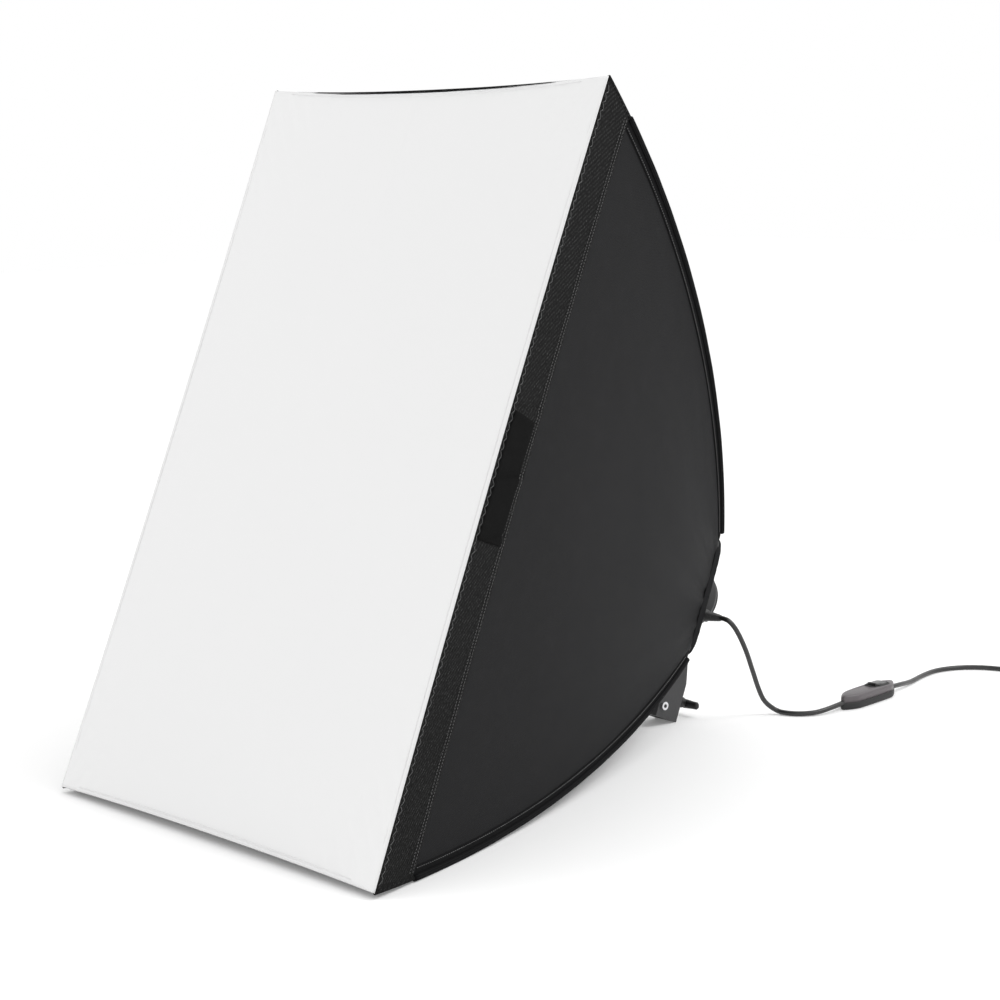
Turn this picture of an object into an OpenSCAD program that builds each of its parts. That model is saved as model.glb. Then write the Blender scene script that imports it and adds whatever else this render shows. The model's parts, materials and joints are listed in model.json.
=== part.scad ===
// Studio softbox: a folding fabric box on four sprung rods, with a lamp holder and a tilting stand
// bracket. It lies as it is put down: on its two lower corner seams and on the heel of the bracket.
// Local directions before leaning: x is width, y runs back from the front, z runs up the front.

/* [Fabric box] */
// Width of the front
front_w = 500; // [420:10:640]
// Height of the front
front_h = 750; // [600:10:900]
// Depth from the front to the hub
depth = 520; // [450:5:600]
// Outward bow of the rods, as a share of their chord
bow = 0.05; // [0.04:0.005:0.08]
// Half diagonal of the fabric where it meets the hub
throat = 84; // [80:1:100]
// Width of the woven front band
band_w = 48; // [36:1:60]
// Thickness of the outer fabric
panel_t = 1.0; // [0.8:0.1:1.2]

/* [Frame] */
// Diameter of a rod
rod_d = 7; // [5:0.5:8]
// Distance from the corner seam to the rod
rod_inset = 19; // [17:0.5:22]
// Diameter of a hinge pin
pin_d = 4; // [3:0.5:5]

/* [Lamp] */
// Radius of the lamp housing
housing_r = 34; // [32:1:38]
// Length of the lamp housing behind the hub
housing_l = 34; // [30:1:60]
// Radius of the bulb globe
bulb_r = 32; // [26:1:38]
// Length of the bulb from its cap to its front
bulb_l = 118; // [108:1:130]

/* [Bracket] */
// Distance of the tilt pivot below the lamp axis
pivot_drop = 74; // [70:1:100]
// Distance of the bracket heel below the tilt pivot
bracket_l = 64; // [60:1:80]
// Width of the bracket from front to back
bracket_w = 34; // [32:1:40]
// Radius of the bore that takes the stand's spigot
spigot_r = 8.1; // [8:0.05:8.3]

/* [Cord] */
// Diameter of the cord
cord_d = 5.5; // [4.5:0.5:7]

/* [Hidden] */

a = front_w / 2;
b = front_h / 2;
diag = norm([a, b]);
cb = b / diag;

// Seam arc in the diagonal plane, from [diag, 0] at the front to [throat, depth] at the hub
chord = norm([diag - throat, depth]);
rise = bow * chord;
seam_r = (chord * chord / 4 + rise * rise) / (2 * rise);
arc_s = (diag + throat) / 2 - depth / chord * (seam_r - rise);
arc_y = depth / 2 - (diag - throat) / chord * (seam_r - rise);

// Share of the front's size that the shell has at depth y
function share(y) = (arc_s + sqrt(seam_r * seam_r - (y - arc_y) * (y - arc_y))) / diag;
function half_w(y) = a * share(y);
function half_h(y) = b * share(y);

rod_r = rod_d / 2;
rod_arc = seam_r - rod_inset;
pin_y = depth - 9;
pin_s = arc_s + sqrt(rod_arc * rod_arc - (pin_y - arc_y) * (pin_y - arc_y));
tip_y = 6;
tongue_t = 4;
fork_t = 2;
play = 0.3;
eye_r = 5;

// Fabric layers, measured inwards from the outer face of the panel
gap = 0.3;
lining_t = 0.8;
loop_t = 0.8;
lining_in = panel_t + gap;
loop_in = lining_in + lining_t + gap;
flange_in = loop_in + loop_t + gap;
loop_w = 22;
band_t = 1.2;
shell_end = depth + 1;
steps = 12;

// Bracket and lean
pivot_y = depth + 26;
heel = pivot_drop + bracket_l;
ear_r = 11;
lug_half = 12.7;
cheek_in = 13;
cheek_t = 3;
cheek_out = cheek_in + cheek_t;
block_h = bracket_l - ear_r - 5;
plate_t = 5;

// Resting lean: the lowest point of the two lower corner seams is level with the bracket's heel
piping_out = 2.6;
piping_r = 1.8;
function low_seam(t) = -arc_y * sin(t) - cb * arc_s * cos(t)
    - (seam_r + piping_out) * norm([sin(t), cb * cos(t)]) - piping_r;
function low_heel(t) = -(pivot_y + bracket_w / 2) * sin(t) - heel * cos(t);
function settle(low, high, left) = let (mid = (low + high) / 2)
    left == 0 ? mid
    : low_seam(mid) < low_heel(mid) ? settle(mid, high, left - 1)
    : settle(low, mid, left - 1);
lean = settle(5, 45, 30);
floor_drop = -low_seam(lean);

// Middle of the footprint, so that the part stands over its origin
screw_out = 22;
screw_head = 3.6;
diffuser_out = 2;
diffuser_t = 1.4;
back_y = (depth + plate_t + housing_l + 5.3) * cos(lean) + (screw_out + screw_head) * sin(lean);
front_y = -diffuser_out * cos(lean) - (b - 1) * sin(lean);
shift_y = -(back_y + front_y) / 2;

module lie() translate([0, shift_y, floor_drop]) rotate([-lean, 0, 0]) children();

// Cord gland on the right of the housing
gland_z = -18;
gland_back = 18;
gland_r = 4.2;
gland_out = 58;

// The cord's way over the floor, as round numbers in standing millimetres
cord_r = cord_d / 2;
lead_route = [
    [63, 0, 0], [70, 2, -3], [75, 8, -14], [76, 20, -36], [73, 34, -62], [69, 48, -86], [69, 58, -102]
];
lead_floor = [[75, 372, 5], [88, 376, 3], [102, 384, 3], [112, 398, 3.6], [117, 416, 6], [118.2, 436, 8.2]];
switch_at = [114, 484, 0];
switch_turn = 95;
switch_l = 96;
tail_route = [
    [109.8, 532, 8.2], [107, 550, 7], [98, 582, 3.6], [88, 616, 3], [84, 648, 3],
    [94, 676, 3], [116, 696, 3],
    [146, 706, 3], [182, 712, 3], [222, 716, 3], [262, 718, 3], [312, 719.5, 3]
];
coil_at = [312, 757, 0];
coil_r = 32;
coil_w = 17;
coil_h = 11;
end_route = [[312, 794.5, 8.4], [296, 794.5, 8.4], [280, 794.5, 9], [266, 794.5, 9.2]];

// Curved strip that follows the shell along its depth: w is the half size at the front
module strip(w, far, inset, t, y0, y1) {
    ys = [for (i = [0:steps]) y0 + (y1 - y0) * i / steps];
    outer = [for (y = ys) [w * share(y) - inset, y]];
    inner = [for (i = [steps:-1:0]) [w * share(ys[i]) - inset - t, ys[i]]];
    translate([0, 0, -far]) linear_extrude(2 * far) polygon(concat(outer, inner));
}

// Outline of one wall seen square on, as half size against depth
module outline(w, trim, y0, y1) {
    ys = [for (i = [0:steps]) y0 + (y1 - y0) * i / steps];
    right = [for (y = ys) [w * share(y) - trim, y]];
    left = [for (i = [steps:-1:0]) [-w * share(ys[i]) + trim, ys[i]]];
    polygon(concat(right, left));
}

// One layer of a wall on the +x side: w is its distance from the axis, h its half length
module wall_x(w, h, inset, t, trim, y0, y1) {
    intersection() {
        strip(w, h + 20, inset, t, y0, y1);
        rotate([0, -90, 0]) translate([0, 0, -w - 20]) linear_extrude(w + 20) outline(h, trim, y0, y1);
    }
}

// Side index: 0 right, 1 top, 2 left, 3 bottom
module wall(side, inset, t, trim, y0, y1) {
    upright = side % 2 == 0;
    rotate([0, -90 * side, 0])
        wall_x(upright ? a : b, upright ? b : a, inset, t, trim, y0, y1);
}

module panel(side) color([0.16, 0.16, 0.17]) lie() wall(side, 0, panel_t, panel_t + gap, 0, shell_end);
module lining(side) color([0.86, 0.87, 0.88]) lie()
    wall(side, lining_in, lining_t, lining_in + lining_t + gap, 1, shell_end - 1);
module band(side) color([0.08, 0.08, 0.08]) lie()
    wall(side, -gap - band_t, band_t, side % 2 == 0 ? -gap - band_t : 0.1, 0, band_w);
module loop(side) color([0.05, 0.05, 0.05]) lie()
    wall(side, loop_in, loop_t, 30, 2, 2 + loop_w);

// Where a place in the leaning frame comes to stand
function stand(p) = [p[0], p[1] * cos(lean) + p[2] * sin(lean) + shift_y,
    -p[1] * sin(lean) + p[2] * cos(lean) + floor_drop];

// Turns the diagonal plane of a corner into the xy plane: sx and sz are the corner's signs
module corner(sx, sz) {
    turn = atan2(sz * b, sx * a);
    lie() rotate([0, -turn, 0]) children();
}

// Round bar along the arc of radius r in the diagonal plane, between two depths
module arc_bar(r, bar_r, y0, y1) {
    start = asin((y0 - arc_y) / r);
    sweep = asin((y1 - arc_y) / r) - start;
    translate([arc_s, arc_y, 0]) rotate([0, 0, start])
        rotate_extrude(angle = sweep, $fn = 96) translate([r, 0]) circle(bar_r, $fn = 20);
}

module piping(sx, sz) color([0.07, 0.07, 0.07]) corner(sx, sz)
    arc_bar(seam_r + piping_out, piping_r, band_w + 3, depth - 12);

module rod(sx, sz) color([0.62, 0.63, 0.65]) corner(sx, sz) {
    difference() {
        union() {
            arc_bar(rod_arc, rod_r, tip_y, pin_y - eye_r);
            translate([pin_s, pin_y, -tongue_t / 2]) cylinder(h = tongue_t, r = eye_r, $fn = 48);
            translate([pin_s, pin_y, -tongue_t / 2]) rotate([0, 0, -50])
                translate([0, -rod_r, 0]) cube([eye_r + 5, rod_r * 2, tongue_t]);
        }
        translate([pin_s, pin_y, -rod_d]) cylinder(h = 2 * rod_d, r = pin_d / 2 + 0.05, $fn = 48);
    }
}

// Stitched pocket over the end of a rod
module pocket(sx, sz) color([0.06, 0.06, 0.06]) corner(sx, sz)
    difference() {
        arc_bar(rod_arc, rod_r + 1.3, 2, 30);
        arc_bar(rod_arc, rod_r + 0.1, tip_y, 34);
    }

module diffuser() color([0.95, 0.95, 0.95]) lie() {
    translate([-a + 1, -diffuser_out, -b + 1]) cube([front_w - 2, diffuser_t, front_h - 2]);
}

// Hook strips sewn along the diffuser's back, which press on the loop strips of the walls
module diffuser_strips() color([0.93, 0.93, 0.92]) lie()
    for (side = [0:3]) wall(side, flange_in, 1, 32, diffuser_t - diffuser_out, 20);

// Fork that holds the eye of one rod
module fork(sx, sz) rotate([0, -atan2(sz * b, sx * a), 0])
    difference() {
        for (k = [-1, 1]) translate([pin_s, 0, k * (tongue_t / 2 + play + fork_t / 2)]) {
            translate([0, pin_y, -fork_t / 2]) cylinder(h = fork_t, r = eye_r, $fn = 48);
            translate([-eye_r, pin_y, -fork_t / 2]) cube([2 * eye_r, depth - pin_y + 0.5, fork_t]);
        }
        translate([pin_s, pin_y, -10]) cylinder(h = 20, r = pin_d / 2, $fn = 48);
    }

plate_y = depth;
plate_in = 2.3;
holder_r = 19;
module hub_plate() color([0.10, 0.10, 0.11]) lie() {
    difference() {
        translate([0, plate_y, 0])
            linear_profile(half_w(shell_end) - plate_in, half_h(shell_end) - plate_in, plate_t, 9);
        translate([0, plate_y + 10, 0]) rotate([90, 0, 0]) cylinder(h = 20, r = holder_r + gap, $fn = 96);
        for (sx = [-1, 1], sz = [-1, 1]) translate([sx * 28, plate_y + 10, sz * 26])
            rotate([90, 0, 0]) cylinder(h = 20, r = 1.7, $fn = 24);
    }
    for (sx = [-1, 1], sz = [-1, 1]) fork(sx, sz);
}

module hinge_pins() color([0.75, 0.75, 0.76]) for (sx = [-1, 1], sz = [-1, 1]) corner(sx, sz)
    translate([pin_s, pin_y, -tongue_t / 2 - play - fork_t - 0.5])
        cylinder(h = tongue_t + 2 * (play + fork_t) + 1, r = pin_d / 2, $fn = 48);

// Gathered fabric that closes the back of the box round the housing
sleeve_l = plate_t + 5;
sleeve_t = 1.5;
module sleeve() color([0.12, 0.12, 0.13]) lie() translate([0, shell_end + 0.5, 0])
    difference() {
        linear_profile(half_w(shell_end), half_h(shell_end), sleeve_l, 10);
        translate([0, -1, 0])
            linear_profile(half_w(shell_end) - sleeve_t, half_h(shell_end) - sleeve_t, sleeve_l - 0.5, 10);
        translate([0, 30, 0]) rotate([90, 0, 0]) cylinder(h = 60, r = housing_r + gap, $fn = 96);
    }
module linear_profile(w, h, l, r) rotate([-90, 0, 0]) linear_extrude(l)
    union() {
        square([2 * (w - r), 2 * h], center = true);
        square([2 * w, 2 * (h - r)], center = true);
        for (sx = [-1, 1], sz = [-1, 1]) translate([sx * (w - r), sz * (h - r)]) circle(r, $fn = 48);
    }

house_y = plate_y + plate_t;
module housing() color([0.10, 0.10, 0.11]) lie() translate([0, house_y, 0]) rotate([-90, 0, 0])
    difference() {
        rotate_extrude($fn = 96) polygon([
            [0, 0], [housing_r, 0], [housing_r, housing_l - 6],
            [housing_r - 1.5, housing_l - 3], [housing_r - 4, housing_l], [0, housing_l]]);
        translate([0, 0, -1]) cylinder(h = housing_l - 1, r = holder_r + gap, $fn = 96);
        translate([0, -gland_z, gland_back]) rotate([0, 90, 0])
            cylinder(h = housing_r + 5, r = gland_r, $fn = 48);
    }
module housing_cap() color([0.13, 0.13, 0.14]) lie() translate([0, house_y + housing_l, 0])
    rotate([-90, 0, 0]) difference() {
        cylinder(h = 3.5, r = housing_r - 5, $fn = 96);
        for (k = [0:5]) translate([-14 + k * 5.6 - 1, -12, 1.5]) cube([2, 24, 3]);
        for (k = [0, 1]) translate([0, (2 * k - 1) * screw_out, -1]) cylinder(h = 6, r = 2, $fn = 24);
    }
module housing_screws() color([0.8, 0.8, 0.8]) lie() for (k = [-1, 1])
    translate([0, house_y + housing_l, k * screw_out]) rotate([-90, 0, 0]) difference() {
        union() {
            cylinder(h = 3.5, r = 1.9, $fn = 32);
            translate([0, 0, 3.5]) cylinder(h = 1.8, r = screw_head, $fn = 32);
        }
        for (t = [0, 90]) rotate([0, 0, t]) translate([-2.4, -0.45, 4.4]) cube([4.8, 0.9, 2]);
    }

// Lamp holder: a ceramic tube that reaches through the hub, with the cap of the bulb inside it
holder_y = plate_y - 28;
module holder_shell() color([0.93, 0.92, 0.9]) lie() translate([0, holder_y, 0]) rotate([-90, 0, 0])
    difference() {
        cylinder(h = 28 + plate_t + housing_l - 4, r = holder_r, $fn = 96);
        translate([0, 0, -1]) cylinder(h = 33, r = 13.6, $fn = 96);
    }
module holder_contact() color([0.85, 0.68, 0.3]) lie() translate([0, holder_y + 32, 0])
    rotate([90, 0, 0]) cylinder(h = 6, r = 4, $fn = 32);

cap_y = holder_y + 25.5;
module bulb_cap() color([0.8, 0.8, 0.78]) lie() translate([0, cap_y, 0]) rotate([90, 0, 0]) {
    cylinder(h = 3, r1 = 4.5, r2 = 9, $fn = 64);
    translate([0, 0, 3]) cylinder(h = 23, r = 13.0, $fn = 96);
    for (k = [0:4]) translate([0, 0, 5 + k * 4]) cylinder(h = 1.6, r = 13.4, $fn = 96);
}
body_y = cap_y - 26;
module bulb_body() color([0.95, 0.95, 0.95]) lie() translate([0, body_y, 0]) rotate([90, 0, 0])
    rotate_extrude($fn = 96) polygon([
        [0, 0], [14, 0], [15, 3], [18, 8], [22, 18], [26, 30], [28.5, 40], [28.5, 42], [0, 42]]);
globe_y = body_y - 42;
module bulb_globe() color([1, 1, 0.97]) lie() translate([0, globe_y, 0]) rotate([90, 0, 0])
    rotate_extrude($fn = 96) intersection() {
        translate([0, 14]) circle(bulb_r, $fn = 96);
        square([bulb_r + 1, bulb_l - 68]);
    }

// Tilt bracket
module tilt_lug() color([0.10, 0.10, 0.11]) lie() difference() {
    union() {
        translate([-lug_half, pivot_y, -pivot_drop]) rotate([0, 90, 0])
            cylinder(h = 2 * lug_half, r = ear_r, $fn = 64);
        translate([-lug_half, pivot_y - ear_r, -pivot_drop])
            cube([2 * lug_half, 2 * ear_r, pivot_drop - housing_r + 3]);
    }
    translate([0, house_y - 5, 0]) rotate([-90, 0, 0]) cylinder(h = housing_l + 8, r = housing_r, $fn = 96);
    translate([-30, pivot_y, -pivot_drop]) rotate([0, 90, 0]) cylinder(h = 60, r = 4.05, $fn = 48);
}
module cheeks() color([0.11, 0.11, 0.12]) lie() for (k = [-1, 1]) difference() {
    union() {
        translate([k * (cheek_in + cheek_t / 2), pivot_y, -pivot_drop]) rotate([0, 90, 0])
            cylinder(h = cheek_t, r = ear_r, center = true, $fn = 64);
        translate([k * (cheek_in + cheek_t / 2), pivot_y, -pivot_drop]) rotate([90, 0, 90])
            linear_extrude(cheek_t, center = true)
                polygon([[-ear_r, 0], [ear_r, 0], [bracket_w / 2, -20], [bracket_w / 2, -bracket_l],
                    [-bracket_w / 2, -bracket_l], [-bracket_w / 2, -20]]);
    }
    translate([-30, pivot_y, -pivot_drop]) rotate([0, 90, 0]) cylinder(h = 60, r = 4.05, $fn = 48);
    translate([-30, pivot_y - 9, -heel + 13]) rotate([0, 90, 0]) cylinder(h = 60, r = 2.5, $fn = 32);
}
module socket_block() color([0.09, 0.09, 0.10]) lie() difference() {
    translate([-cheek_in, pivot_y - bracket_w / 2, -heel])
        cube([2 * cheek_in, bracket_w, block_h]);
    translate([0, pivot_y, -heel - 1]) cylinder(h = block_h - 5, r = spigot_r, $fn = 96);
    translate([0, pivot_y + spigot_r - 3, -heel + block_h / 2]) rotate([-90, 0, 0])
        cylinder(h = 20, r = 3.05, $fn = 48);
    for (k = [-1, 1]) translate([k * (cheek_in - 4), pivot_y - 9, -heel + 13]) rotate([0, 90, 0])
        cylinder(h = 10, r = 2.5, center = true, $fn = 32);
}
module block_bolts() color([0.8, 0.8, 0.82]) lie() for (k = [-1, 1])
    translate([k * cheek_in, pivot_y - 9, -heel + 13]) rotate([0, k * 90, 0]) {
        translate([0, 0, -7]) cylinder(h = 7 + cheek_t, r = 2.5, $fn = 48);
        translate([0, 0, cheek_t]) cylinder(h = 2.6, r = 4.6, $fn = 48);
    }
module pivot_bolt() color([0.12, 0.12, 0.12]) lie()
    translate([0, pivot_y, -pivot_drop]) rotate([0, 90, 0]) {
        translate([0, 0, -cheek_out - 12]) cylinder(h = 2 * cheek_out + 12, r = 4, $fn = 48);
        translate([0, 0, cheek_out]) cylinder(h = 4, r = 7, $fn = 6);
    }
module pivot_knob() color([0.07, 0.07, 0.07]) lie()
    translate([-cheek_out - 0.4, pivot_y, -pivot_drop]) rotate([0, -90, 0]) difference() {
        union() {
            cylinder(h = 7, r = 7.5, $fn = 48);
            translate([0, 0, 7]) cylinder(h = 9, r = 12, $fn = 64);
            for (k = [0:7]) rotate([0, 0, k * 45]) translate([12, 0, 7]) cylinder(h = 9, r = 2.4, $fn = 24);
        }
        translate([0, 0, -1]) cylinder(h = 13, r = 4.05, $fn = 48);
    }
clamp_y = pivot_y + spigot_r;
module clamp_screw() color([0.78, 0.78, 0.8]) lie()
    translate([0, clamp_y + 0.4, -heel + block_h / 2]) rotate([-90, 0, 0])
        cylinder(h = 24, r = 3, $fn = 48);
module clamp_handle() color([0.06, 0.06, 0.06]) lie()
    translate([0, clamp_y + 16, -heel + block_h / 2]) rotate([-90, 0, 0]) difference() {
        union() {
            cylinder(h = 14, r = 6, $fn = 48);
            translate([0, 0, 14]) cylinder(h = 8, r = 5, $fn = 48);
            translate([-20, -3.2, 12]) cube([40, 6.4, 9]);
            for (k = [-1, 1]) translate([k * 20, 0, 12]) cylinder(h = 9, r = 3.2, $fn = 32);
        }
        translate([0, 0, -1]) cylinder(h = 9.4, r = 3.05, $fn = 48);
    }

// Round bar swept along a route: every ring stands square to the way the route runs there
module swept(route, r, sides) {
    n = len(route);
    ways = [for (i = [0:n - 1]) unit(route[min(i + 1, n - 1)] - route[max(i - 1, 0)])];
    rings = [for (i = [0:n - 1]) ring(route[i], ways[i], r, sides)];
    points = [for (q = rings, p = q) p];
    walls = [for (i = [0:n - 2], k = [0:sides - 1])
        [i * sides + k, i * sides + (k + 1) % sides,
            (i + 1) * sides + (k + 1) % sides, (i + 1) * sides + k]];
    first = [for (k = [sides - 1:-1:0]) k];
    last = [for (k = [0:sides - 1]) (n - 1) * sides + k];
    polyhedron(points, concat([first], walls, [last]));
}
function unit(v) = v / norm(v);
function ring(at, way, r, sides) = let (
        side = unit(cross(way, abs(way[2]) > 0.9 ? [1, 0, 0] : [0, 0, 1])), up = cross(side, way))
    [for (k = [0:sides - 1]) at + r * (cos(360 * k / sides) * side + sin(360 * k / sides) * up)];
// Smooth curve through the route's own points, with a few rings between each pair
function smooth(p, cuts) = [for (i = [0:len(p) - 2], j = [0:cuts - 1])
        bend(p[max(i - 1, 0)], p[i], p[i + 1], p[min(i + 2, len(p) - 1)], j / cuts), p[len(p) - 1]];
function bend(p0, p1, p2, p3, t) = 0.5 * (2 * p1 + (p2 - p0) * t
    + (2 * p0 - 5 * p1 + 4 * p2 - p3) * t * t + (3 * p1 - p0 - 3 * p2 + p3) * t * t * t);

gland = stand([0, house_y + gland_back, gland_z]);
function from_gland(p) = [p[0], gland[1] + p[1], gland[2] + p[2]];
module strain_relief() color([0.06, 0.06, 0.06])
    translate(gland) rotate([0, 90, 0]) difference() {
        union() {
            translate([0, 0, 24]) cylinder(h = 12, r = gland_r - 0.05, $fn = 48);
            translate([0, 0, 35.2]) cylinder(h = 1.8, r = 6.8, $fn = 48);
            translate([0, 0, 36.9]) cylinder(h = gland_out - 36.9, r1 = 6, r2 = 3.7, $fn = 48);
        }
        translate([0, 0, 20]) cylinder(h = 50, r = cord_r + 0.1, $fn = 48);
    }
module cord_lead() color([0.05, 0.05, 0.05])
    swept(smooth(concat([from_gland([26, 0, 0]), from_gland([gland_out - 4, 0, 0])],
        [for (p = lead_route) from_gland(p)], lead_floor), 3), cord_r, 8);
module cord_tail() color([0.05, 0.05, 0.05]) swept(smooth(tail_route, 3), cord_r, 8);
module cord_end() color([0.05, 0.05, 0.05]) swept(smooth(end_route, 3), cord_r, 8);
module cord_coil() color([0.05, 0.05, 0.05]) translate(coil_at) translate([0, 0, coil_h / 2 + 0.1])
    rotate_extrude($fn = 96) translate([coil_r, 0]) square([coil_w, coil_h], center = true);

// In-line switch: its length runs along x before it is turned and set on the floor
module on_switch() translate(switch_at) rotate([0, 0, switch_turn]) children();
module switch_outline(grow) hull() {
    for (k = [-1, 1]) translate([k * (switch_l / 2 - 16), 0]) circle(13 + grow, $fn = 32);
    for (k = [-1, 1]) translate([k * (switch_l / 2 - 3), 0]) circle(5 + grow, $fn = 32);
}
module switch_lower() color([0.07, 0.07, 0.07]) on_switch() translate([0, 0, 0.2])
    linear_extrude(8) switch_outline(0);
module switch_upper() color([0.30, 0.28, 0.29]) on_switch() translate([0, 0, 8.2]) difference() {
    union() {
        linear_extrude(7) switch_outline(-0.6);
        translate([0, 0, 7]) linear_extrude(2) switch_outline(-2.4);
    }
    translate([6, -8, 3]) cube([25, 16, 10]);
}
module rocker() color([0.05, 0.05, 0.05]) on_switch() translate([18.5, 0, 15])
    rotate([0, 6, 0]) translate([0, 7.6, 0]) rotate([90, 0, 0]) linear_extrude(15.2)
        polygon([[-11.2, -2.2], [11.2, -2.2], [11.6, 3.6], [0, 2.4], [-11.6, 3.6]]);

// Mains plug, lying where the coil lets it go
plug_at = [270, 794.5, 9.2];
module plug_body() color([0.05, 0.05, 0.05]) translate(plug_at) rotate([0, 90, 180]) {
        cylinder(h = 14, r1 = 4, r2 = 7, $fn = 48);
        translate([0, 0, 14]) cylinder(h = 26, r = 9, $fn = 64);
    }
module plug_pins() color([0.8, 0.8, 0.78]) translate(plug_at) rotate([0, 90, 180]) for (k = [-1, 1])
    translate([0, k * 5.5, 40]) cylinder(h = 16, r = 2, $fn = 32);

panel(0);  // panel_right
panel(2);  // panel_left
panel(1);  // panel_top
panel(3);  // panel_bottom
lining(0);  // lining_right
lining(2);  // lining_left
lining(1);  // lining_top
lining(3);  // lining_bottom
band(0);  // band_right
band(2);  // band_left
band(1);  // band_top
band(3);  // band_bottom
loop(0);  // loop_right
loop(2);  // loop_left
loop(1);  // loop_top
loop(3);  // loop_bottom
piping(1, 1);  // piping_tr
piping(-1, 1);  // piping_tl
piping(1, -1);  // piping_br
piping(-1, -1);  // piping_bl
rod(1, 1);  // rod_tr
rod(-1, 1);  // rod_tl
rod(1, -1);  // rod_br
rod(-1, -1);  // rod_bl
pocket(1, 1);  // pocket_tr
pocket(-1, 1);  // pocket_tl
pocket(1, -1);  // pocket_br
pocket(-1, -1);  // pocket_bl
diffuser();
diffuser_strips();
hub_plate();
hinge_pins();
sleeve();
housing();
housing_cap();
housing_screws();
holder_shell();
holder_contact();
bulb_cap();
bulb_body();
bulb_globe();
tilt_lug();
cheeks();
socket_block();
block_bolts();
pivot_bolt();
pivot_knob();
clamp_screw();
clamp_handle();
strain_relief();
cord_lead();
switch_lower();
switch_upper();
rocker();
cord_tail();
cord_coil();
cord_end();
plug_body();
plug_pins();
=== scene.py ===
"""Studio softbox: the visible fabric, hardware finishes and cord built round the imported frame."""

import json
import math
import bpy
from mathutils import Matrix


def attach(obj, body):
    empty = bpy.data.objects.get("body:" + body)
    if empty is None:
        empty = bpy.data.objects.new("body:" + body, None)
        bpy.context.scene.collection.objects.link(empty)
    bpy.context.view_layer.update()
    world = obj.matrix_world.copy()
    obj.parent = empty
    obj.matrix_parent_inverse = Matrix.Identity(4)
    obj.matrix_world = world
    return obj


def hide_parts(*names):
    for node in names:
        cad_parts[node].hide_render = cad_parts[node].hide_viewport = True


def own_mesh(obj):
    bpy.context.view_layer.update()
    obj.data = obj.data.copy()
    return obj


bl_info = {
    "name": "Studio softbox",
    "version": (1, 0, 0),
    "blender": (4, 5, 0),
    "location": "View3D > Sidebar > Softbox",
    "description": "Builds the looks of a folding studio softbox round its packed frame",
    "category": "Add Mesh",
}

import bpy
from mathutils import Matrix, Vector, noise

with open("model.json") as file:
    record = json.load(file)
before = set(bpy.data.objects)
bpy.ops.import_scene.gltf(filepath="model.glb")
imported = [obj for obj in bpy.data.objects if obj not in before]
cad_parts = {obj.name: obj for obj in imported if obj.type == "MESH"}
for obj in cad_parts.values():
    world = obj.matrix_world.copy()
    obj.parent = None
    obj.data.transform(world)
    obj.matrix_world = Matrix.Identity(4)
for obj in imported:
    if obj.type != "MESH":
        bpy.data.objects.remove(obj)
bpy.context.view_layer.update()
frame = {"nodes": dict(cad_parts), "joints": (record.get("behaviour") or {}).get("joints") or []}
JOINTS = {joint["name"]: joint for joint in frame["joints"]}
NODES = frame["nodes"]
TAU = 2 * math.pi
MM = 0.001
SIDES = ("right", "top", "left", "bottom")
CORNERS = {"tr": (1, 1), "tl": (-1, 1), "br": (1, -1), "bl": (-1, -1)}


# ---------------------------------------------------------------- sizes and colours

def length(name, text, value):
    """A size that a user may change, in metres."""
    return bpy.props.FloatProperty(name=name, description=text, default=value, min=0.0, unit="LENGTH",
                                   precision=4)


def colour(name, text, value):
    """A colour that a user may change."""
    return bpy.props.FloatVectorProperty(
        name=name, description=text, default=value, size=3, min=0.0, max=1.0, subtype="COLOR"
    )


class SoftboxSizes(bpy.types.PropertyGroup):
    """Sizes of the fabric box and its cord."""

    front_w: length("Front width", "Width of the front opening", 0.5)
    front_h: length("Front height", "Height of the front opening", 0.75)
    depth: length("Depth", "Distance from the front to the hub", 0.52)
    throat: length("Throat", "Half diagonal of the fabric at the hub", 0.084)
    band_w: length("Band", "Width of the woven front band", 0.048)
    cord_d: length("Cord", "Diameter of the cord", 0.0055)
    bow: bpy.props.FloatProperty(
        name="Bow", description="Outward bow of the rods, as a share of their chord", default=0.05, min=0.0,
        max=0.2
    )


class SoftboxColours(bpy.types.PropertyGroup):
    """Colours of the main finishes."""

    nylon: colour("Nylon", "Outer fabric", (0.0145, 0.0145, 0.0152))
    webbing: colour("Webbing", "Woven front band", (0.0085, 0.0085, 0.0085))
    thread: colour("Thread", "Light threads in the band", (0.085, 0.085, 0.085))
    diffuser: colour("Diffuser", "Front cloth", (0.80, 0.80, 0.80))
    plastic: colour("Plastic", "Moulded black parts", (0.007, 0.007, 0.0075))
    switch_top: colour("Switch top", "Upper half of the switch", (0.085, 0.075, 0.080))
    floor: colour("Floor", "Plain studio floor", (0.9, 0.9, 0.9))




def settings():
    """Reads the two groups that the scene holds."""
    scene = bpy.context.scene
    return scene.softbox_sizes, scene.softbox_colours


# ---------------------------------------------------------------- shader expressions

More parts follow.
